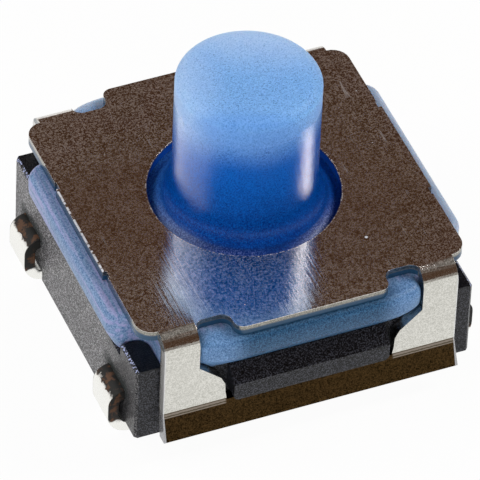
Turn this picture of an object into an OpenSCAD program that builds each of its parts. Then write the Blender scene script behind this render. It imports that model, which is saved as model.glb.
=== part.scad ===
// Sealed surface-mount tactile push button: a moulded base, a snapped-on sheet steel cover,
// a one-piece soft boot with a tall stem, a snap dome and two contact stampings.
// X runs along the face that carries the latch block, Z is up.
// The origin is on the board, under the middle of the stem.

/* [Overall] */
// Height from the board to the top of the stem
total_h = 5.3; // [4.8:0.05:6.5]
// Width of the base over its two lead faces
base_w = 6.26; // [6.1:0.02:6.6]
// Depth of the cover over the outer faces of its legs
cover_d = 6.24; // [6.1:0.02:6.6]

/* [Cover] */
// Thickness of the cover's sheet steel
sheet = 0.2; // [0.12:0.01:0.25]
// How far the top plate's side edges stay inside the base's faces
plate_inset = 0.1; // [0.02:0.01:0.15]
// Width of the flat tongue in the middle of the front and back edges
tongue_w = 2.86; // [2.4:0.02:3.0]
// How far the tongue reaches past the legs' outer faces
tongue_over = 0.06; // [0:0.01:0.12]
// Width of each notch between the tongue and a leg
notch_w = 0.64; // [0.4:0.02:0.75]
// How far the notch is cut in from the tongue's edge
notch_depth = 0.42; // [0.3:0.02:0.5]
// Width of each leg
leg_w = 0.65; // [0.5:0.01:0.75]
// How far each leg's foot reaches inward along the strip
foot_reach = 0.53; // [0.3:0.01:0.6]
// Height over which the foot widens from the leg
foot_rise = 0.91; // [0.7:0.01:1.0]
// Height of the strip that joins the two legs
strip_h = 0.52; // [0.3:0.01:0.6]
// How far the strip's lower edge leans outward
strip_flare = 0.155; // [0:0.005:0.2]
// Inner radius of the bends at the top of the legs
bend_r = 0.14; // [0.06:0.01:0.16]
// Length of the trimmed carrier stub on each side edge
stub_len = 2.2; // [1.6:0.05:2.8]
// How far the carrier stub stands past the side edge
stub_out = 0.04; // [0.02:0.01:0.08]

/* [Base] */
// Gap between the board and the underside of the base
stand_off = 0.1; // [0.05:0.01:0.15]
// Free room between the base and the leads' feet, above and beside them
foot_room = 0.1; // [0.05:0.01:0.2]
// Height of the rim that the boot's flange sits on
seat_z = 1.6; // [1.5:0.01:1.8]
// How far the corner posts rise above that rim
post_rise = 0.28; // [0.15:0.01:0.4]
// Length of each corner post along the lead face
post_len = 0.76; // [0.6:0.02:0.8]
// Thickness of each corner post inward from the lead face
post_t = 0.45; // [0.35:0.01:0.5]
// Height of the latch block's underside, where the strip hooks
latch_z = 0.96; // [0.9:0.01:1.0]
// Height of the latch block's upright face
latch_face = 0.36; // [0.3:0.01:0.45]
// How far the latch block stands past the legs' outer faces
latch_over = 0.1; // [0.06:0.01:0.15]

/* [Boot] */
// Diameter of the stem
stem_d = 2.55; // [2.2:0.01:2.8]
// Radius round the stem's top edge
stem_edge = 0.18; // [0.05:0.01:0.2]
// Clear gap between the stem and the cover's hole
hole_gap = 0.425; // [0.3:0.005:0.45]
// Thickness of the flange held between the cover and the base
flange_h = 0.85; // [0.7:0.01:1.0]
// How far the flange's lip swells out past the plate's side edges
lip_side = 0.28; // [0.1:0.01:0.32]
// How far the flange's lobes swell out past the tongues
lip_front = 0.12; // [0.04:0.01:0.16]
// Thickness of the thin skirt between the stem and the flange
skirt_t = 0.22; // [0.15:0.01:0.28]
// How much lower the skirt is at the stem than at the flange
skirt_drop = 0.15; // [0.08:0.01:0.2]
// Diameter of the nub that presses the dome
nub_d = 1.1; // [0.8:0.05:1.4]

/* [Contacts] */
// Thickness of the contact stampings
lead_t = 0.2; // [0.15:0.01:0.22]
// Width of each lead
lead_w = 0.75; // [0.6:0.01:0.85]
// Spacing of the two lead rows
lead_pitch = 4.0; // [3.9:0.02:4.1]
// Width over the leads' outer faces
lead_span = 6.84; // [6.8:0.02:7.3]
// Height of the stampings' underside inside the base
lead_level = 0.78; // [0.7:0.01:0.85]
// Length of each lead's flat foot
foot_flat = 0.45; // [0.3:0.01:0.6]
// Diameter of the snap dome
dome_d = 4.0; // [3.6:0.02:4.0]
// Rise of the snap dome
dome_rise = 0.42; // [0.36:0.01:0.45]
// Thickness of the snap dome
dome_t = 0.07; // [0.04:0.01:0.08]

/* [Hidden] */
$fn = 64;
far = 10;       // longer than the part, for cuts that run right through
lap = 0.05;     // how far joined shapes of one piece run into each other

// Fits
snap_clear = 0.04;   // legs to the base's front and back faces
hook_clear = 0.02;   // strip to the latch block's underside
foot_gap = 0.09;     // cover feet to the ends of the latch block
flange_inset = 0.02; // flange to the base's lead faces
flange_back = 0.02;  // flange to the base's front and back faces, behind the legs
lobe_clear = 0.03;   // flange lobes to the inner edges of the legs
post_clear = 0.03;   // flange to the corner posts
stem_clear = 0.02;   // stem to the skirt
nub_clear = 0.02;    // nub to the dome
dome_clear = 0.12;   // dome to the chamber wall

// Heights
edge_lift = lead_t + foot_room;
floor_z = lead_level + lead_t;
post_z = seat_z + post_rise;
plate_z = seat_z + flange_h;
plate_top = plate_z + sheet;
dome_z = floor_z + dome_rise;
skirt_under = 0.03;  // skirt's outer edge below the plate
skirt_top = plate_z - skirt_under;
strip_top = latch_z - hook_clear;
strip_low = strip_top - strip_h;

// Plan sizes, measured from the middle
side_slope = 0.07;   // how far the latch block's ramp ends outside the base's face
leg_out = cover_d / 2;
leg_in = leg_out - sheet;
base_d = 2 * (leg_in - snap_clear);
keel_y = (lead_pitch - lead_w) / 2 - foot_room;
plate_x = base_w / 2 - plate_inset;
tongue_y = leg_out + tongue_over;
notch_y = tongue_y - notch_depth;
leg_x1 = tongue_w / 2 + notch_w;
leg_x2 = leg_x1 + leg_w;
foot_x = leg_x1 - foot_reach;
latch_x = foot_x - foot_gap;
latch_y = leg_out + latch_over;
hole_r = stem_d / 2 + hole_gap;
skirt_hold = 0.25;   // how far the skirt runs under the plate
skirt_r = hole_r + skirt_hold;
chamber_r = dome_d / 2 + dome_clear;
flange_x = base_w / 2 - flange_inset;
flange_y = base_d / 2 - flange_back;
lobe_x = leg_x1 - lobe_clear;
lobe_y = base_d / 2 + side_slope - flange_back;
lip_x = plate_x + lip_side;
lip_y = tongue_y + lip_front;

// Small edges
bend_out = bend_r + sheet;
notch_r = 0.18;
plate_corner = plate_x - leg_x2;
relief = 0.16;       // width of the cut at each end of a carrier stub
lip_round = 0.35;    // round of the side lips' plan corners
lobe_long = 0.75;    // length and depth of the oval round at the lobes' plan corners
lobe_deep = 0.25;
lip_edge = 0.08;     // slope at the lip's upper edge
toe_in = [0.12, 0.04, 0.03, 0];   // points of the foot's soft toe, measured from its end,
toe_up = [0.6, 0.42, 0.2, 0];     // and their heights as shares of the foot's height
end_flare = 0.03;    // how far the strip's ends spread towards its lower edge
edge_cut = 0.05;
latch_round = 0.1;
nub_cone = 0.2;      // slope between the nub and the stem's underside
skirt_bow = 0.03;    // how far the skirt hangs below a straight line
post_round = 0.22;

// Ring contact under the dome's rim
ring_out = 0.08;
ring_in = 0.45;
ring_open = 25;      // angle below the X axis where the ring stops, towards the centre contact

// Lead bends
knee_r = 0.1 + lead_t;
heel_r = 0.22 + lead_t;
lead_x = lead_span / 2;

// Points of a quarter circle round c, from one angle to another
function arc(c, r, from, to, steps = 6) = oval_arc(c, r, r, from, to, steps);

// The same for an oval with the radii rx and ry
function oval_arc(c, rx, ry, from, to, steps = 6) =
  [for (i = [0:steps]) let(a = from + (to - from) * i / steps) c + [rx * cos(a), ry * sin(a)]];

module both_ways() {
  children();
  mirror([0, 1, 0]) children();
}

module four_corners() {
  both_ways() {
    children();
    mirror([1, 0, 0]) children();
  }
}

// Outline in Y and Z pushed along X over the given half width
module along_x(half) {
  translate([-half, 0, 0]) rotate([90, 0, 90]) linear_extrude(2 * half) children();
}

// Outline in X and Z pushed along Y, from y0 on
module along_y(y0, length) {
  translate([0, y0 + length, 0]) rotate([90, 0, 0]) linear_extrude(length) children();
}

// A quarter of a bent sheet's section: centre, outer radius, thickness and quadrant
module bend(c, r, t, quadrant) {
  translate(c) intersection() {
    difference() {
      circle(r);
      circle(r - t);
    }
    rotate(90 * quadrant) square(2 * r);
  }
}

// Base housing

module post_outline(grow = 0) {
  x = base_w / 2 - post_t - grow;
  y = base_d / 2 - post_len - grow;
  r = post_round + grow;
  polygon(concat([[far, y]], arc([x + r, y + r], r, 270, 180), [[x, far], [far, far]]));
}

module corner_post() {
  linear_extrude(post_z) intersection() {
    post_outline();
    square([base_w / 2, base_d / 2]);
  }
}

module latch_block() {
  intersection() {
    along_x(latch_x) polygon([
      [chamber_r, latch_z], [latch_y, latch_z], [latch_y, latch_z + latch_face],
      [base_d / 2 + side_slope, seat_z], [chamber_r, seat_z]
    ]);
    along_y(0, far) polygon(concat(
      [[latch_x, far]],
      arc([latch_x - latch_round, latch_z + latch_round], latch_round, 0, -90),
      arc([latch_round - latch_x, latch_z + latch_round], latch_round, 270, 180),
      [[-latch_x, far]]
    ));
  }
}

// The block that every part of the base stays inside, with its small edge cuts
module base_envelope() {
  x = base_w / 2;
  y = base_d / 2;
  e = edge_cut;
  along_y(-far, 2 * far) polygon([
    [-x, 0], [x, 0], [x, post_z - e], [x - e, post_z], [e - x, post_z], [-x, post_z - e]
  ]);
}

module base_body() {
  x = base_w / 2;
  y = base_d / 2;
  intersection() {
    union() {
      translate([-x, -y, edge_lift]) cube([base_w, base_d, seat_z - edge_lift]);
      translate([-x, -keel_y, stand_off]) cube([base_w, 2 * keel_y, seat_z - stand_off]);
      four_corners() intersection() {
        corner_post();
        translate([0, 0, edge_lift]) cube([far, far, far]);
      }
      both_ways() latch_block();
    }
    base_envelope();
    linear_extrude(far) polygon([
      [-x, edge_cut - y], [edge_cut - x, -y], [-latch_x, -y], [-latch_x, -latch_y],
      [latch_x, -latch_y], [latch_x, -y], [x - edge_cut, -y], [x, edge_cut - y],
      [x, y - edge_cut], [x - edge_cut, y], [latch_x, y], [latch_x, latch_y],
      [-latch_x, latch_y], [-latch_x, y], [edge_cut - x, y], [-x, y - edge_cut]
    ]);
  }
}

module base_housing() {
  color("#2b2d30") difference() {
    base_body();
    translate([0, 0, floor_z]) cylinder(r = chamber_r, h = far);
    centre_stamping();
    ring_stamping();
  }
}

// Cover

module plate_corner_points() {
  polygon(concat(
    [[0, 0], [plate_x, 0]],
    arc([leg_x2, leg_out - bend_out - plate_corner], plate_corner, 0, 90),
    [[leg_x1, leg_out - bend_out]],
    arc([leg_x1 - notch_r, notch_y + notch_r], notch_r, 0, -90),
    arc([tongue_w / 2 + notch_r, notch_y + notch_r], notch_r, 270, 180),
    arc([tongue_w / 2 - notch_r, tongue_y - notch_r], notch_r, 0, 90),
    [[0, tongue_y]]
  ));
}

module plate_outline() {
  difference() {
    union() {
      plate_corner_points();
      mirror([1, 0]) plate_corner_points();
      mirror([0, 1]) plate_corner_points();
      mirror([1, 0]) mirror([0, 1]) plate_corner_points();
      square([2 * (plate_x + stub_out), stub_len], center = true);
    }
    for (sx = [-1, 1], sy = [-1, 1])
      translate([sx * (plate_x + lap), sy * (stub_len + relief) / 2])
        square([3 * lap, relief], center = true);
    circle(hole_r);
  }
}

// Section of a leg from the plate down to the flared edge of the strip
module leg_section() {
  square_start = leg_out - bend_out - lap;
  translate([square_start, plate_z]) square([lap, sheet]);
  bend([leg_out - bend_out, plate_top - bend_out], bend_out, sheet, 0);
  translate([leg_in, strip_top]) square([sheet, plate_top - bend_out - strip_top]);
  polygon([
    [leg_in, strip_top], [leg_out, strip_top],
    [leg_out + strip_flare, strip_low], [leg_in + strip_flare, strip_low]
  ]);
}

// Inner edge of the right leg, from the knee down to the strip: a slope, a soft toe and a short drop
function foot_edge() = concat(
  [[leg_x1, strip_top + foot_rise]],
  [for (i = [0:3]) [foot_x + toe_in[i], strip_top + toe_up[i] * foot_rise]]
);

// Right half of the face of the legs and the strip, seen square on
module half_face() {
  polygon(concat(
    [[-lap, strip_low], [leg_x2 + end_flare, strip_low], [leg_x2, strip_top], [leg_x2, plate_top],
     [leg_x1, plate_top]],
    foot_edge(),
    [[-lap, strip_top]]
  ));
}

module leg_face() {
  half_face();
  mirror([1, 0]) half_face();
}

module cover_side() {
  intersection() {
    along_x(base_w / 2) leg_section();
    along_y(0, far) leg_face();
  }
}

module cover_frame() {
  color("#8d857a") union() {
    translate([0, 0, plate_z]) linear_extrude(sheet) plate_outline();
    both_ways() cover_side();
  }
}

// Boot: stem, skirt and flange are moulded as one; they part here where the travel is taken up

module button_stem() {
  r = stem_d / 2;
  low = skirt_top - skirt_drop - skirt_t;
  nub_low = dome_z + nub_clear;
  nub_r = nub_d / 2;
  color("#5aa4e6") rotate_extrude() {
    translate([0, low]) square([r, total_h - stem_edge - low]);
    translate([0, total_h - 2 * stem_edge]) square([r - stem_edge, 2 * stem_edge]);
    translate([r - stem_edge, total_h - stem_edge]) circle(stem_edge);
    polygon([
      [0, nub_low], [nub_r, nub_low], [nub_r, low - nub_cone], [nub_r + nub_cone, low + lap], [0, low + lap]
    ]);
  }
}

module boot_skirt() {
  r0 = stem_d / 2 + stem_clear;
  r1 = (r0 + skirt_r) / 2;
  low = skirt_top - skirt_drop;
  color("#2d6fb8") rotate_extrude() polygon([
    [r0, low - skirt_t], [r1, low - skirt_t + skirt_drop / 2 - skirt_bow], [skirt_r, skirt_top - skirt_t],
    [skirt_r, skirt_top], [r1, low + skirt_drop / 2 - skirt_bow], [r0, low]
  ]);
}

module flange_plan() {
  difference() {
    square([2 * flange_x, 2 * flange_y], center = true);
    for (sx = [0, 1], sy = [0, 1]) mirror([sx, 0]) mirror([0, sy]) post_outline(post_clear);
  }
}

// The part of the flange behind the legs, sloped where their bends come down
module flange_core() {
  bend_y = leg_out - bend_out;
  intersection() {
    translate([0, 0, seat_z]) linear_extrude(flange_h) flange_plan();
    along_x(base_w / 2) polygon([
      [-flange_y, seat_z], [flange_y, seat_z], [flange_y, plate_z - bend_r], [bend_y, plate_z],
      [-bend_y, plate_z], [-flange_y, plate_z - bend_r]
    ]);
  }
}

// Section of the flange's swelling: narrow on the base, widest just under the cover
module swelling(low, high) {
  polygon([
    [-low, seat_z], [low, seat_z], [high, plate_z - 2 * lip_edge], [high, plate_z - lip_edge],
    [high - lip_edge, plate_z], [lip_edge - high, plate_z], [-high, plate_z - lip_edge],
    [-high, plate_z - 2 * lip_edge]
  ]);
}

// Plan with oval corners, as far out as the lip goes
module round_plan(x, y, rx, ry) {
  polygon(concat(
    oval_arc([x - rx, y - ry], rx, ry, 0, 90), oval_arc([rx - x, y - ry], rx, ry, 90, 180),
    oval_arc([rx - x, ry - y], rx, ry, 180, 270), oval_arc([x - rx, ry - y], rx, ry, 270, 360)
  ));
}

// The lobes that swell out between the legs, front and back; low down they follow the feet
module flange_lobes() {
  knee_z = foot_edge()[0][1];
  toe_x = foot_edge()[1][0] - lobe_clear;
  toe_z = foot_edge()[1][1];
  intersection() {
    along_x(lobe_x) swelling(lobe_y, lip_y);
    along_y(-far, 2 * far) polygon([
      [lobe_x, plate_z], [lobe_x, knee_z], [toe_x, toe_z],
      [-toe_x, toe_z], [-lobe_x, knee_z], [-lobe_x, plate_z]
    ]);
    linear_extrude(far) round_plan(lobe_x, lip_y, lobe_long, lobe_deep);
  }
}

// The swellings along the lead faces, between the corner posts
module flange_sides() {
  y = base_d / 2 - post_len - post_clear;
  intersection() {
    along_y(-y, 2 * y) swelling(flange_x, lip_x);
    linear_extrude(far) round_plan(lip_x, y, lip_round, lip_round);
  }
}

module seal_flange() {
  color("#74b0e8") difference() {
    union() {
      flange_core();
      flange_lobes();
      flange_sides();
    }
    cylinder(r = skirt_r, h = far);
  }
}

// Contacts

module snap_dome() {
  half = dome_d / 2;
  rise = dome_rise;
  ball = (half * half + rise * rise) / (2 * rise);
  color("#cfd0cc") intersection() {
    translate([0, 0, dome_z - ball]) difference() {
      sphere(ball);
      sphere(ball - dome_t);
    }
    translate([0, 0, floor_z]) cylinder(r = half, h = rise);
  }
}

// Section of one lead: out of the base, down, and back under it
module lead_section() {
  foot_z = heel_r;
  translate([0, lead_level]) square([lead_x - knee_r, lead_t]);
  bend([lead_x - knee_r, floor_z - knee_r], knee_r, lead_t, 0);
  translate([lead_x - lead_t, foot_z]) square([lead_t, floor_z - knee_r - foot_z]);
  bend([lead_x - heel_r, foot_z], heel_r, lead_t, 3);
  translate([lead_x - heel_r - foot_flat, 0]) square([foot_flat, lead_t]);
}

module lead_row(y) {
  along_y(y - lead_w / 2, lead_w) {
    lead_section();
    mirror([1, 0]) lead_section();
  }
}

module centre_stamping() {
  lead_row(-lead_pitch / 2);
  translate([0, 0, lead_level]) linear_extrude(lead_t) {
    translate([-lead_w / 3, -lead_pitch / 2]) square([lead_w / 1.5, lead_pitch / 2]);
    circle(d = nub_d);
  }
}

module ring_stamping() {
  out = dome_d / 2 + ring_out;
  in = dome_d / 2 - ring_in;
  stop = far * [cos(ring_open), -sin(ring_open)];
  lead_row(lead_pitch / 2);
  translate([0, 0, lead_level]) linear_extrude(lead_t) difference() {
    circle(out);
    circle(in);
    polygon([[0, 0], stop, [0, -2 * far], [-stop[0], stop[1]]]);
  }
}

module centre_terminal() {
  color("#dcdcd6") centre_stamping();
}

module ring_terminal() {
  color("#dcdcd6") ring_stamping();
}

base_housing();
cover_frame();
button_stem();
boot_skirt();
seal_flange();
snap_dome();
centre_terminal();
ring_terminal();
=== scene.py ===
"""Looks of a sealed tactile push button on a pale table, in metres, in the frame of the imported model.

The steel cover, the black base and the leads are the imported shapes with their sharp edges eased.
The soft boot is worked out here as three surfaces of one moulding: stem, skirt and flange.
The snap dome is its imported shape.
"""
import math

import bmesh
import bpy
import numpy as np
from mathutils import Matrix, Vector


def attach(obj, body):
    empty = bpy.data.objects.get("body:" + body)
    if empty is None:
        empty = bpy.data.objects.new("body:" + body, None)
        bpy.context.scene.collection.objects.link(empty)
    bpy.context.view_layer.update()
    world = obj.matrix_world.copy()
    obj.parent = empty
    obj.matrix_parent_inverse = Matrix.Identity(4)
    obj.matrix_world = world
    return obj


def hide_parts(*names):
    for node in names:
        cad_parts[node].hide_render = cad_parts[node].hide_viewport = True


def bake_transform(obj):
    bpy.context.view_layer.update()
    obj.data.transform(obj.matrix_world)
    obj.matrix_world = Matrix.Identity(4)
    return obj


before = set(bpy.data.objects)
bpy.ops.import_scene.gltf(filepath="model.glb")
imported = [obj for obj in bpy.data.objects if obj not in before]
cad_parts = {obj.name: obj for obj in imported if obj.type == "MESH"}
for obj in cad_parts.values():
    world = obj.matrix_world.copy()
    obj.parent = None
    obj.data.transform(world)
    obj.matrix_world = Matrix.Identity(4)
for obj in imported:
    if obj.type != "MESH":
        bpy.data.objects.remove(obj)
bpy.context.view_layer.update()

MM = 0.001

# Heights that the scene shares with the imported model, in millimetres
total_h = 5.3
plate_top = 2.65
plate_z = 2.45
post_top = 1.88
seat_z = 1.6

# Stem, nub and skirt of the boot
stem_r = 1.275
stem_edge = 0.18      # height of the round at the stem's top edge
edge_in = 0.28        # how far that round reaches in
nub_r = 0.55
nub_low = 1.42
nub_edge = 0.04
nub_foot = 0.2        # slope where the nub meets the stem's underside
neck_low = 2.40       # lowest height of the hollow round between skirt and stem
neck_round = 0.6
neck_split = 225      # angle on that round where the skirt ends and the stem begins
wall_low = 3.3        # lowest ring of the stem's upright wall
hole_r = 1.70         # the cover's hole
skirt_bulge = 1.665   # radius up to which the skirt follows the hollow round
skirt_high = 2.42
skirt_r = 1.95
skirt_t = 0.12

# Flange of the boot, between cover and base
flange_h = 0.848
flange_low_x = 3.11
flange_y = 2.86
lip_x = 3.31
lip_y = 3.30
lip_round = 0.35
lobe_x = 2.04
lobe_low_x = 1.76
lobe_low_y = 2.93
lobe_long = 0.75
lobe_deep = 0.25
lobe_hollow = 0.05
core_round = 0.06
knee_z = 1.85
post_x = 2.65
post_y = 2.09
post_round = 0.25
bend_y = 2.78
bend_low_z = 2.31

# Places on the cover, the base and the leads that change colour
leg_in_x = 2.07       # edges of the folded legs
leg_out_x = 2.72
leg_y = 3.12          # outer face of the legs
fold_z = 0.975        # crease above the flared strip
flare_z = 0.87
toe_x = 1.56
stub_x = 3.04         # broken edge of the carrier stub
crumb_x = 1.51
crumb_y = -1.87
base_x = 3.13
lead_y = 2.0

# Camera, in degrees, metres and millimetres of lens
view_azimuth = -24.15
view_elevation = 43.71
view_roll = 2.65
view_distance = 0.125
view_lens = 532.6
view_right = 0.018 * MM
view_up = 1.012 * MM


# Shader maths

class Wire:
    """One socket of a material. Sums, products and powers of wires and numbers add their Math nodes."""

    def __init__(self, paint, socket):
        self.paint = paint
        self.socket = socket

    def maths(self, operation, *values):
        sockets = dict(enumerate(values))
        return self.paint.node("Math", {"operation": operation}, sockets)

    def __add__(self, other):
        return self.maths("ADD", self, other)

    def __sub__(self, other):
        return self.maths("SUBTRACT", self, other)

    def __rsub__(self, other):
        return self.maths("SUBTRACT", other, self)

    def __mul__(self, other):
        return self.maths("MULTIPLY", self, other)

    def __pow__(self, other):
        return self.maths("POWER", self, other)

    def size(self):
        return self.maths("ABSOLUTE", self)

    def most(self, other):
        return self.maths("MAXIMUM", self, other)

    def swing(self, amount):
        """A noise from 0 to 1 as a swing round zero, this much from end to end."""
        return (self - 0.5) * amount

    def step(self, low, high):
        """0 below low and 1 above high, with a smooth run between; the other way round if low is higher."""
        settings = {"interpolation_type": "SMOOTHSTEP"}
        start, end = (0.0, 1.0) if low < high else (1.0, 0.0)
        sockets = {0: self, 1: min(low, high), 2: max(low, high), 3: start, 4: end}
        return self.paint.node("MapRange", settings, sockets)

    def near(self, place, far, close):
        """1 at less than close from a place and 0 at more than far from it, with a smooth run between."""
        return (self - place).size().step(far, close)


class Paint:
    """The nodes of a material or of the world, under construction."""

    def __init__(self, owner, place="Object"):
        self.owner = owner
        owner.use_nodes = True
        self.tree = owner.node_tree
        self.tree.nodes.clear()
        self.place = self.node("TexCoord", out=place)

    def node(self, kind, settings=None, sockets=None, out=0):
        """Adds a node: its settings first, then the values or links of its sockets. Returns one output,
        or none for an end node."""
        made = self.tree.nodes.new("ShaderNode" + kind)
        for name, value in (settings or {}).items():
            setattr(made, name, value)
        for name, value in (sockets or {}).items():
            if isinstance(value, Wire):
                self.tree.links.new(value.socket, made.inputs[name])
            else:
                made.inputs[name].default_value = value
        return None if out is None else Wire(self, made.outputs[out])

    def axes(self):
        """The place on the piece as three numbers, in millimetres."""
        parts = self.node("SeparateXYZ", sockets={0: self.place})
        nodes = [Wire(self, parts.socket.node.outputs[i]) for i in range(3)]
        return [n * (1 / MM) for n in nodes]

    def spread(self, scale, stretch=(1, 1, 1)):
        """The place on the piece with this many steps per millimetre, and stretch as a factor by axis."""
        each = [scale * s / MM for s in stretch]
        return self.node("Mapping", sockets={0: self.place, 3: each})

    def noise(self, scale, stretch=(1, 1, 1), detail=2.0, rough=0.5):
        """Cloudy noise from 0 to 1, with this many bumps per millimetre."""
        sockets = {"Vector": self.spread(scale, stretch), "Scale": 1.0}
        return self.node("TexNoise", sockets=sockets | {"Detail": detail, "Roughness": rough})

    def mix(self, share, first, second):
        """The first colour where share is 0, the second where it is 1."""
        sockets = {0: share, 6: first, 7: second}
        return self.node("Mix", {"data_type": "RGBA"}, sockets, out=2)

    def bump(self, height, depth, strength):
        """Normal of a surface raised by height times depth, in millimetres."""
        sockets = {"Height": height, "Distance": depth * MM, "Strength": strength}
        return self.node("Bump", sockets=sockets)

    def finish(self, sockets):
        return self.close(self.node("BsdfPrincipled", sockets=sockets))

    def close(self, shader, end="OutputMaterial"):
        self.node(end, sockets={"Surface": shader}, out=None)
        return self.owner


def rgb(red, green, blue):
    """Colour from 0-255 display numbers to the linear values that sockets take."""
    shares = [v / 255 for v in (red, green, blue)]
    return [s / 12.92 if s <= 0.04045 else ((s + 0.055) / 1.055) ** 2.4 for s in shares] + [1.0]


# Materials

def rolled_steel():
    """Rolled sheet: a dark mirror with fine lines, dust and scratches on top, pale folded legs, cut edges
    that are pale above and painted the boot's dark blue below as a painted reflection, a hole whose wall is
    painted the boot's blue as a painted reflection, painted glints along the broken edge of the left carrier
    stub, on the hole's rim and at the legs' bends, painted light on the legs' cut sides, and a strip that
    flares out below a double crease, painted dark as a painted reflection."""
    p = Paint(bpy.data.materials.new("cover steel"))
    x, y, z = p.axes()
    lines = p.noise(22, (1, 0.04, 0.3), detail=3, rough=0.6)
    cloud = p.noise(0.5, (1, 0.6, 1), detail=3)
    grain = p.noise(21, detail=3, rough=0.7)
    dust = p.noise(44, detail=1)
    tone = lines.swing(0.5) + cloud.swing(0.4) + grain.swing(1.6) + dust.swing(2.2) + 0.5
    haze = lines.swing(0.6) + grain.swing(5.0) + dust.swing(7.0) + 0.5

    top = z.step(plate_top - 0.09, plate_top - 0.03)
    plate = p.mix(tone, rgb(172, 166, 160), rgb(238, 233, 227))
    leg = p.mix(tone, rgb(190, 189, 181), rgb(224, 223, 216))
    colour = p.mix(top, leg, plate)

    at_leg = x.size().step(leg_in_x - 0.02, leg_in_x) * x.size().step(leg_out_x + 0.01, leg_out_x - 0.01)
    at_leg = at_leg * y.size().step(bend_y - 0.04, bend_y - 0.01)
    cut_edge = z.step(plate_z - 0.01, plate_z) * z.step(plate_top - 0.005, plate_top - 0.015) * (1 - at_leg)
    # Painted reflection: the lower part of the cut edges is painted the dark blue of the shaded boot that it
    # mirrors.
    low_edge_painted_reflection = cut_edge * z.step(plate_top - 0.06, plate_top - 0.11)
    colour = p.mix(cut_edge, colour, p.mix(tone, rgb(120, 118, 110), rgb(168, 166, 158)))
    colour = p.mix(low_edge_painted_reflection, colour, rgb(38, 74, 104))

    fold = z.step(fold_z + 0.005, fold_z - 0.005)
    ragged = z + grain.swing(0.03)
    crease = ragged.near(fold_z - 0.017, 0.014, 0.006).most(ragged.near(fold_z - 0.075, 0.016, 0.008))
    # Painted reflection: the flared strip is painted dark brown, standing in for a dark mirror image.
    strip = z.step(flare_z + 0.005, flare_z - 0.005).most(x.size().step(toe_x + 0.02, toe_x - 0.02) * fold)
    strip_painted_reflection = p.mix(tone, rgb(22, 15, 4), rgb(72, 54, 30))
    colour = p.mix(fold, colour, p.mix(crease, rgb(136, 126, 116), rgb(84, 76, 62)))
    colour = p.mix(strip, colour, strip_painted_reflection)

    # Painted glint: pale dashes along the broken edge of the left carrier stub.
    broken = p.noise(9, (0.2, 1, 0.2), rough=0.6).step(0.42, 0.50)
    stub_painted_glint = x.step(0.005 - stub_x, -0.005 - stub_x) * z.step(plate_top - 0.03, plate_top - 0.015) * broken
    in_hole = (x * x + y * y).step((hole_r + 0.022) ** 2, (hole_r + 0.014) ** 2)
    # Painted highlight: a pale dotted line along the hole's rim.
    rim = in_hole * z.step(plate_top - 0.03, plate_top - 0.02) * grain.step(0.4, 0.7)
    # Painted reflection: the hole's wall is painted the boot's blue.
    hole_wall_painted_reflection = in_hole * z.step(plate_top - 0.02, plate_top - 0.04)
    # Painted glint at the outer corner of each leg's bend.
    bend_painted_glint = x.size().near(leg_out_x, 0.022, 0.012) * y.size().step(leg_y - 0.05, leg_y - 0.03)
    bend_painted_glint = bend_painted_glint * z.step(plate_z + 0.05, plate_z - 0.05)
    # Painted light: the legs' cut sides are painted pale, as if lit.
    leg_side_painted_light = x.size().step(leg_out_x - 0.018, leg_out_x - 0.006) * z.step(plate_z - 0.03, plate_z - 0.07)
    leg_side_painted_light = leg_side_painted_light * y.size().step(leg_y - 0.22, leg_y - 0.12)
    patch = p.noise(1.3, (1, 0.5, 1)).step(0.48, 0.56)
    scratch = p.noise(9, (1, 0.12, 1), rough=0.7).step(0.66, 0.71) * patch
    specks = p.node("TexVoronoi", {"feature": "F1"}, {"Vector": p.spread(2.6), "Scale": 1.0})
    crumb = ((x - crumb_x) * (x - crumb_x) + (y - crumb_y) * (y - crumb_y)).step(0.0010, 0.0004)
    marks = (scratch * 0.4 + specks.step(0.045, 0.02) + crumb * 1.6) * top
    # One pale colour for the painted glints, highlight and light above and for the real scratches, dust
    # specks and crumb.
    pale = stub_painted_glint.most(rim * 0.6).most(bend_painted_glint * 0.5).most(marks * 0.6).most(leg_side_painted_light * 0.4)
    colour = p.mix(pale, colour, rgb(236, 240, 246))
    colour = p.mix(hole_wall_painted_reflection, colour, rgb(10, 84, 176))

    dusty = haze.step(0.1, 1.1) * top * 0.13
    painted = pale.most(low_edge_painted_reflection * 0.8).most(dusty).most(hole_wall_painted_reflection * 0.8)
    return p.finish({
        "Base Color": colour,
        "Metallic": 1 - painted,
        "Roughness": lines.swing(0.08) + grain.swing(0.08) + 0.12 + (1 - top) * 0.11,
        "Normal": p.bump(lines * 1.3 + grain * 0.3, 0.002, 0.7),
    })


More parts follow.
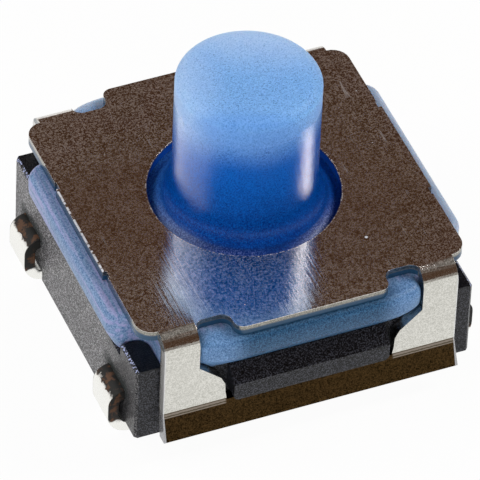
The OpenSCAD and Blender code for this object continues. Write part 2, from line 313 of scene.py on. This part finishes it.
def silicone():
    """Soft translucent moulding: pale at the stem's top and deep blue down by the cover as painted light and
    shade, painted paler on the stem's far and left sides and darker along its near top edge, with a painted
    highlight and painted light on the skirt by the hole; sky blue at the flange's sides with faint flow
    lines, painted shade on its lobes under the cover's tongue with lighter ends, and pale where light comes
    through the lip."""
    p = Paint(bpy.data.materials.new("boot silicone"))
    x, y, z = p.axes()
    grain = p.noise(24, detail=3, rough=0.7)
    dust = p.noise(44, detail=1)
    tone = grain.swing(0.5) + dust.swing(0.7)
    radius = (x * x + y * y) ** 0.5

    # Ways across the stem as the photo's camera sees it
    back = x * 0.41 + y * 0.91
    left = y * 0.41 - x * 0.91
    # Painted light and shade: the stem runs from deep blue down by the cover, in painted shade, to pale at
    # its top, painted as light coming through from above.
    stem = p.mix(z.step(2.3, 4.2) * 0.7 + tone * 3 + 0.15, rgb(0, 52, 132), rgb(4, 102, 202))
    stem = p.mix(z.step(4.15, 5.25) * (tone * 2.4 + 0.78), stem, rgb(140, 196, 255))
    # Painted light: the stem is paler at the top of its far side and on its left side, as if lit through from
    # behind and the left.
    far_side_painted_light = back.step(-0.2, 1.4) * z.step(4.9, 5.25)
    left_side_painted_light = left.step(0.2, 1.3) * z.step(3.7, 5.0) * 0.7
    stem = p.mix(far_side_painted_light.most(left_side_painted_light) * (tone * 2 + 1), stem, rgb(180, 212, 255))
    # Painted shade: darker along the near edge of the stem's top.
    near_edge_painted_shade = back.step(-0.8, -1.15) * z.step(4.5, 5.0)
    stem = p.mix(near_edge_painted_shade * 0.4, stem, rgb(84, 146, 228))

    low = z.step(2.9, 2.8)
    front_left = (x * 0.8 + y * 0.6).step(-0.9, -1.4)
    front_right = (x * 0.6 - y * 0.8).step(1.3, 1.5)
    # Painted highlight: a lavender band on the skirt near the hole, at the front left and front right.
    rim = radius.near(1.54, 0.11, 0.03) * low * front_left.most(front_right * 0.7)
    stem = p.mix(rim * (tone * 5 + 0.16), stem, rgb(120, 136, 204))
    # Painted light on the skirt's left, near the hole.
    left_brim_painted_light = radius.step(1.35, 1.65) * left.step(0.0, 1.4) * low
    stem = p.mix(left_brim_painted_light * (tone * 4 + 0.6), stem, rgb(60, 122, 198))

    flow = p.noise(9, (1, 0.05, 1), rough=0.6)
    side = p.mix(tone * 3.6 + 0.5, rgb(62, 106, 156), rgb(146, 172, 208))
    side = p.mix(flow.step(0.46, 0.62) * (tone * 2 + 0.8), side, rgb(160, 164, 210))
    # Painted shade on the flange's front and back lobes under the cover's tongue, lighter towards their ends
    # as painted light.
    lobe = p.mix(tone * 3.6 + 0.5, rgb(8, 50, 84), rgb(64, 110, 150))
    lobe_end = p.mix(tone * 3.6 + 0.5, rgb(64, 106, 154), rgb(124, 164, 210))
    lobe = p.mix(x.size().step(1.1, 1.7), lobe, lobe_end)
    side = p.mix(y.size().step(2.7, 3.0), side, lobe)
    lit_through = x.step(2.9, 3.25).most(y.step(2.85, 3.2)) * z.step(1.9, 2.3)
    side = p.mix(lit_through * 0.8, side, rgb(186, 202, 226))

    outer = radius.step(skirt_r - 0.025, skirt_r + 0.025)
    dull = outer * 0.2 + z.step(2.75, 2.55) * (1 - outer) * 0.12 + z.step(4.6, 5.1) * 0.3
    return p.finish({
        "Base Color": p.mix(outer, stem, side),
        "Roughness": grain.swing(0.1) + 0.2 + dull,
        "Normal": p.bump(grain + flow * outer, 0.008, 0.6),
        "IOR": 1.41,
        "Specular IOR Level": 0.4,
        "Subsurface Weight": 0.25,
        "Subsurface Radius": (0.4, 0.8, 1.0),
        "Subsurface Scale": 0.5 * MM,
    })


def moulded_black():
    """Matt glass-filled plastic with a fine eroded skin, paler on the lead faces as painted light and smeared
    there, with painted shade towards their front ends and on the post tops, and a painted glint along the
    corner posts."""
    p = Paint(bpy.data.materials.new("base plastic"))
    x, y, z = p.axes()
    grain = p.noise(26, detail=3, rough=0.65)
    dust = p.noise(44, detail=1)
    cloud = p.noise(1.5)
    tone = grain.swing(2.8) + dust.swing(5.4) + cloud.swing(0.4) + 0.16
    flank = x.size().step(base_x - 0.05, base_x - 0.02)
    colour = p.mix(tone, rgb(0, 0, 2), rgb(70, 72, 80))
    # Painted light: the lead faces are painted paler than the rest.
    colour = p.mix(flank, colour, p.mix(tone, rgb(0, 2, 6), rgb(172, 172, 176)))
    # Painted shade towards the front ends of the lead faces.
    colour = p.mix(flank * y.step(-1.1, -2.2) * 0.6, colour, rgb(0, 2, 6))
    # Painted shade: the post tops darkened.
    colour = p.mix(z.step(post_top - 0.05, post_top - 0.02) * 0.8, colour, rgb(0, 2, 8))
    # Painted glint: pale dots along the outer edge of the post tops.
    ridge = x.size().near(base_x - 0.025, 0.03, 0.02) * z.near(post_top - 0.02, 0.03, 0.02)
    post_edge_painted_glint = ridge * p.noise(24, detail=1).step(0.50, 0.58)
    colour = p.mix(post_edge_painted_glint, colour, rgb(170, 182, 222))
    smear = y.size().near(lead_y, 0.75, 0.3) * (z + cloud * 0.3).near(1.15, 0.3, 0.05) * flank
    return p.finish({
        "Base Color": p.mix(smear * 0.8, colour, rgb(14, 26, 24)),
        "Roughness": grain.swing(0.2) + 0.34 + smear * 0.3,
        "Normal": p.bump(grain + dust, 0.012, 0.7),
        "Specular IOR Level": 0.24,
    })


def plated_tin():
    """Tin plating with soft wavy light, dark and brown at the knees and on the cut sides."""
    p = Paint(bpy.data.materials.new("lead tin"))
    x, y, z = p.axes()
    grain = p.noise(18, detail=3, rough=0.6)
    cloud = p.noise(2)
    blot = p.noise(6, detail=3, rough=0.6)
    tin = p.mix(grain.swing(0.6) + cloud.swing(0.5) + 0.5, rgb(238, 238, 233), rgb(252, 251, 246))
    dark_brown = p.mix(blot.step(0.5, 0.62), rgb(12, 13, 10), rgb(88, 58, 36))
    ragged = z + blot.swing(0.3)
    cut_side = (y.size() - lead_y).size().step(0.35, 0.365) * ragged.step(0.28, 0.36)
    # Dark and brown, less metallic and rougher, at the knees and on the cut sides.
    dark_knees_and_sides = ragged.step(0.84, 0.88).most(cut_side)
    return p.finish({
        "Base Color": p.mix(dark_knees_and_sides, tin, dark_brown),
        "Metallic": 1 - dark_knees_and_sides * 0.8,
        "Roughness": cloud.swing(0.1) + 0.26 + dark_knees_and_sides * 0.35,
        "Normal": p.bump(cloud + grain * 0.2 + blot * dark_knees_and_sides, 0.01, 0.4),
    })


def silvered_spring():
    """Silver-plated spring steel of the dome."""
    p = Paint(bpy.data.materials.new("dome silver"))
    grain = p.noise(20)
    colour = p.mix(grain, rgb(214, 212, 206), rgb(234, 232, 226))
    return p.finish({"Base Color": colour, "Metallic": 1.0, "Roughness": grain * 0.08 + 0.16})


# Outlines and surfaces

def corner_arc(x, y, rx, ry, start, end, steps):
    """Points of an ellipse's arc whose box has its outer corner at (x, y), from one angle in degrees
    to another."""
    a = np.radians(np.linspace(start, end, steps + 1))
    return np.stack([x - rx + rx * np.cos(a), y - ry + ry * np.sin(a)], axis=1)


def arc(cx, cy, r, start, end, steps=8):
    """Points of a circle's arc, from one angle in degrees to another."""
    a = np.radians(np.linspace(start, end, steps + 1))
    return np.stack([cx + r * np.cos(a), cy + r * np.sin(a)], axis=1)


def neck_arc(start, end):
    """Points of the hollow round of the neck: its skirt end lies at 270 degrees, its stem end at 180."""
    return arc(stem_r + neck_round, neck_low + neck_round, neck_round, start, end)


def stem_profile():
    """Nub, underside, the upper half of the neck's hollow round, wall and rounded top edge."""
    neck = neck_arc(neck_split, 180)
    under = neck[0, 1] - skirt_t
    wall = np.linspace(wall_low, total_h - stem_edge - 0.05, 12)
    return np.concatenate([
        [[0, nub_low], [nub_r - nub_edge, nub_low]],
        arc(nub_r - nub_edge, nub_low + nub_edge, nub_edge, -90, 0, 4),
        [[nub_r, under - nub_foot], [nub_r + nub_foot, under], [neck[0, 0], under]],
        neck,
        np.stack([np.full(len(wall), stem_r), wall], axis=1),
        corner_arc(stem_r, total_h, edge_in, stem_edge, 0, 90, 14),
        [[0.6, total_h], [0, total_h]],
    ])


def skirt_profile():
    """The lower half of the neck's hollow round as far as the cover's hole, then a step down under the
    cover to the flange; its underside keeps the same line, one thickness lower."""
    neck = neck_arc(neck_split, 270)
    neck = neck[neck[:, 0] < skirt_bulge]
    edge = [[hole_r - 0.01, skirt_high + 0.015], [hole_r + 0.05, skirt_high], [skirt_r, skirt_high]]
    over = np.concatenate([neck, edge])
    under = over[::-1] - [0, skirt_t]
    return np.concatenate([over, under, over[:1]])


def flange_plan(z, out, inset):
    """Plan of the flange at one height, anticlockwise: straight lips on the lead faces, a hollow round
    each corner post, a narrow core behind each leg and a round-cornered lobe between the legs.
    Out is how much of its swelling it has there, inset how far its edge has turned in."""
    side = flange_low_x + (lip_x - flange_low_x) * out - inset
    front = lobe_low_y + (lip_y - lobe_low_y) * out - inset
    half = lobe_low_x + (lobe_x - lobe_low_x) * min((z - seat_z) / (knee_z - seat_z), 1) - inset
    core = flange_y - (flange_y - bend_y) * max(z - bend_low_z, 0) / (plate_z - bend_low_z)
    deep = min(lobe_deep, front - core - lobe_hollow)
    quarter = np.concatenate([
        corner_arc(side, post_y - inset, side - post_x - post_round, lip_round, 0, 90, 9),
        arc(post_x + post_round, post_y + post_round, post_round + inset, 270, 180),
        corner_arc(post_x - inset, core, core_round, core_round, 0, 90, 4),
        arc(half + lobe_hollow, core + lobe_hollow, lobe_hollow, 270, 180, 3),
        corner_arc(half, front, lobe_long, deep, 0, 90, 12),
    ])
    flips = [(1, 1, 1), (-1, 1, -1), (-1, -1, 1), (1, -1, -1)]
    return np.concatenate([(quarter * [sx, sy])[::way] for sx, sy, way in flips])


def grid_faces(rows, columns, close_rows=False):
    """Faces between neighbours of a grid of points, closed round the columns, and round the rows if asked."""
    r = np.arange(rows if close_rows else rows - 1)[:, None]
    c = np.arange(columns)[None, :]
    r2 = (r + 1) % rows
    c2 = (c + 1) % columns
    corners = [r * columns + c, r * columns + c2, r2 * columns + c2, r2 * columns + c]
    return np.stack(corners, axis=-1).reshape(-1, 4).tolist()


def turned(profile, steps=192):
    """Profile points (radius, height) carried round the Z axis. A radius of 0 closes to a pole."""
    profile = np.asarray(profile, float)
    angle = np.linspace(0, 2 * np.pi, steps, endpoint=False)
    r, z = profile[:, :1], profile[:, 1:]
    places = np.stack([r * np.cos(angle), r * np.sin(angle), z + 0 * angle], axis=-1)
    return places.reshape(-1, 3), grid_faces(len(profile), steps)


def flange_shape():
    """The plan carried up a section that leans out to a crease at half height, stands upright and turns
    in under the cover; closed over the top and under the bottom to the round opening.
    Each line of the section is a height above the seat, a share of the swelling and an inset."""
    section = [
        (0.000, 0.00, 0.03),
        (0.012, 0.02, 0.01),
        (0.04, 0.10, 0),
        (0.14, 0.36, 0),
        (0.26, 0.64, 0),
        (0.37, 0.86, 0),
        (0.42, 0.94, 0),
        (0.48, 0.98, 0),
        (0.60, 1, 0),
        (0.69, 1, 0),
        (0.745, 1, 0.010),
        (0.79, 1, 0.030),
        (0.825, 1, 0.062),
        (0.842, 1, 0.10),
        (flange_h, 1, 0.16),
    ]
    rings = []
    for up, out, inset in section:
        plan = flange_plan(seat_z + up, out, inset)
        rings.append(np.column_stack([plan, np.full(len(plan), seat_z + up)]))
    angle = np.arctan2(rings[0][:, 1], rings[0][:, 0])
    bore = skirt_r * np.stack([np.cos(angle), np.sin(angle)], axis=1)
    top = np.column_stack([bore, np.full(len(bore), seat_z + flange_h)])
    bottom = np.column_stack([bore, np.full(len(bore), seat_z)])
    rings = [bottom] + rings + [top]
    return np.concatenate(rings), grid_faces(len(rings), len(top), close_rows=True)


# Pieces

def placed(name, mesh, material, sharp_angle):
    """Puts a mesh into the scene as a piece of one material, smooth but for its sharp edges."""
    mesh.materials.clear()
    mesh.materials.append(material)
    mesh.shade_smooth()
    mesh.set_sharp_from_angle(angle=math.radians(sharp_angle))
    made = bpy.data.objects.new(name, mesh)
    bpy.context.scene.collection.objects.link(made)
    return made


def piece(name, places, faces, material, body, slot):
    """Makes one piece from points in millimetres and faces, merged."""
    mesh = bpy.data.meshes.new(name)
    mesh.from_pydata((np.asarray(places) * MM).tolist(), [], faces)
    work = bmesh.new()
    work.from_mesh(mesh)
    bmesh.ops.remove_doubles(work, verts=work.verts, dist=1e-4 * MM)
    bmesh.ops.recalc_face_normals(work, faces=work.faces)
    work.to_mesh(mesh)
    work.free()
    made = placed(name, mesh, material, sharp_angle=40)
    if body:
        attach(made, body)
    return made


def packed_copy(node, name, material):
    """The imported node's own shape as a piece of the scene, merged to clean faces."""
    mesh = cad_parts[node].data.copy()
    mesh.name = name
    work = bmesh.new()
    work.from_mesh(mesh)
    bmesh.ops.remove_doubles(work, verts=work.verts, dist=1e-3 * MM)
    bmesh.ops.dissolve_limit(work, angle_limit=math.radians(0.5), verts=work.verts, edges=work.edges)
    work.to_mesh(mesh)
    work.free()
    made = placed(name, mesh, material, sharp_angle=35)
    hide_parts(node)
    return made


def eased(node, name, body, material, edge):
    """A packed copy on one body, with its sharp edges eased by a small bevel."""
    made = packed_copy(node, name, material)
    bevel = made.modifiers.new("eased edges", "BEVEL")
    bevel.width = edge * MM
    bevel.segments = 2
    bevel.limit_method = "ANGLE"
    bevel.angle_limit = math.radians(35)
    bevel.harden_normals = True
    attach(made, body)
    return made


def crossing(made, high):
    """Bakes a piece's placement into its mesh; the height that it is given is not used."""
    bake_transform(made)


# The object

steel = rolled_steel()
blue = silicone()
black = moulded_black()
tin = plated_tin()
silver = silvered_spring()

eased("cover_frame", "cover", "base", steel, edge=0.02)
eased("base_housing", "housing", "base", black, edge=0.03)
eased("centre_terminal", "front_leads", "base", tin, edge=0.015)
eased("ring_terminal", "back_leads", "base", tin, edge=0.015)

stem = piece("boot_stem", *turned(stem_profile()), blue, "button", "boot_silicone")
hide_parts("button_stem")
skirt = piece("boot_membrane", *turned(skirt_profile()), blue, None, "boot_silicone")
crossing(skirt, neck_arc(neck_split, 180)[0, 1])
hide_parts("boot_skirt")
flange = piece("boot_flange", *flange_shape(), blue, "base", "boot_silicone")
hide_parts("seal_flange")

dome = packed_copy("snap_dome", "dome", silver)
heights = [v.co.z / MM for v in dome.data.vertices]
crossing(dome, max(heights))


# Table, light and camera

def table_paint():
    """Pale table. Camera and mirror rays see part of it as plain white, and the rest keeps the shadow."""
    p = Paint(bpy.data.materials.new("table"))
    rays = p.node("LightPath", out="Is Camera Ray").socket.node
    camera, glossy, clear = [Wire(p, rays.outputs[n]) for n in
                             ("Is Camera Ray", "Is Glossy Ray", "Is Transmission Ray")]
    matt = p.node("BsdfDiffuse", sockets={"Color": rgb(240, 240, 240)})
    plain = p.node("Emission", sockets={"Color": rgb(255, 255, 255), "Strength": 1.0})
    seen = camera * 0.96 + glossy * 0.92 + clear * 0.6
    return p.close(p.node("MixShader", sockets={0: seen, 1: matt, 2: plain}))


def table(radius=3.0, steps=96):
    """A round pale table, in metres, under the object."""
    angle = np.linspace(0, 2 * np.pi, steps, endpoint=False)
    rim = np.stack([radius * np.cos(angle), radius * np.sin(angle), 0 * angle], axis=1)
    mesh = bpy.data.meshes.new("table")
    mesh.from_pydata(rim.tolist(), [], [list(range(steps))])
    mesh.materials.append(table_paint())
    made = bpy.data.objects.new("table", mesh)
    bpy.context.scene.collection.objects.link(made)


def direction(azimuth, elevation):
    """Unit vector from the object, with azimuth 0 at -Y and growing towards +X."""
    a, e = math.radians(azimuth), math.radians(elevation)
    return Vector((math.sin(a) * math.cos(e), -math.cos(a) * math.cos(e), math.sin(e)))


def soft_light(name, azimuth, elevation, width, height, level, mirrored=True, distance=0.45):
    """A rectangular softbox that faces the object. Level is the light that it sends to it, over pi."""
    lamp = bpy.data.lights.new(name, "AREA")
    lamp.shape = "RECTANGLE"
    lamp.size = width
    lamp.size_y = height
    lamp.energy = level * math.pi * math.pi * distance ** 2
    made = bpy.data.objects.new(name, lamp)
    away = direction(azimuth, elevation)
    made.location = away * distance
    made.rotation_mode = "QUATERNION"
    made.rotation_quaternion = away.to_track_quat("Z", "Y")
    made.visible_glossy = mirrored
    bpy.context.scene.collection.objects.link(made)


def room_light():
    """The room round the table: pale at the horizon, dim and warm above, a little lighter overhead."""
    world = bpy.data.worlds.new("room")
    bpy.context.scene.world = world
    p = Paint(world, "Generated")
    up = p.node("SeparateXYZ", sockets={0: p.place}, out="Z")
    above = p.mix(up.step(0.80, 0.97), rgb(85, 60, 44), rgb(134, 132, 128))
    colour = p.mix(up.step(0.06, 0.16), rgb(250, 250, 250), above)
    p.close(p.node("Background", sockets={"Color": colour, "Strength": 1.0}), "OutputWorld")


def photo_camera():
    """Camera at the photograph's angle; the picture's frame needs no shift."""
    lens = bpy.data.cameras.new("camera")
    lens.lens = view_lens
    lens.sensor_width = 36
    lens.clip_start = 0.01
    lens.clip_end = 10
    made = bpy.data.objects.new("camera", lens)
    back = direction(view_azimuth, view_elevation)
    turn = math.radians(view_azimuth)
    level = Vector((math.cos(turn), math.sin(turn), 0))
    upright = back.cross(level)
    roll = math.radians(view_roll)
    right = level * math.cos(roll) + upright * math.sin(roll)
    up = upright * math.cos(roll) - level * math.sin(roll)
    made.matrix_world = Matrix((right, up, back)).transposed().to_4x4()
    made.location = back * view_distance + right * view_right + up * view_up
    bpy.context.scene.collection.objects.link(made)
    bpy.context.scene.camera = made


table()
room_light()
soft_light("left light", azimuth=-122, elevation=43.7, width=0.48, height=0.22, level=0.60)
soft_light("right light", azimuth=89.5, elevation=43.7, width=0.10, height=0.18, level=0.50)
soft_light("front fill", azimuth=-24, elevation=18, width=0.30, height=0.10, level=0.39, mirrored=False)
photo_camera()
bpy.context.scene.view_settings.view_transform = "Standard"
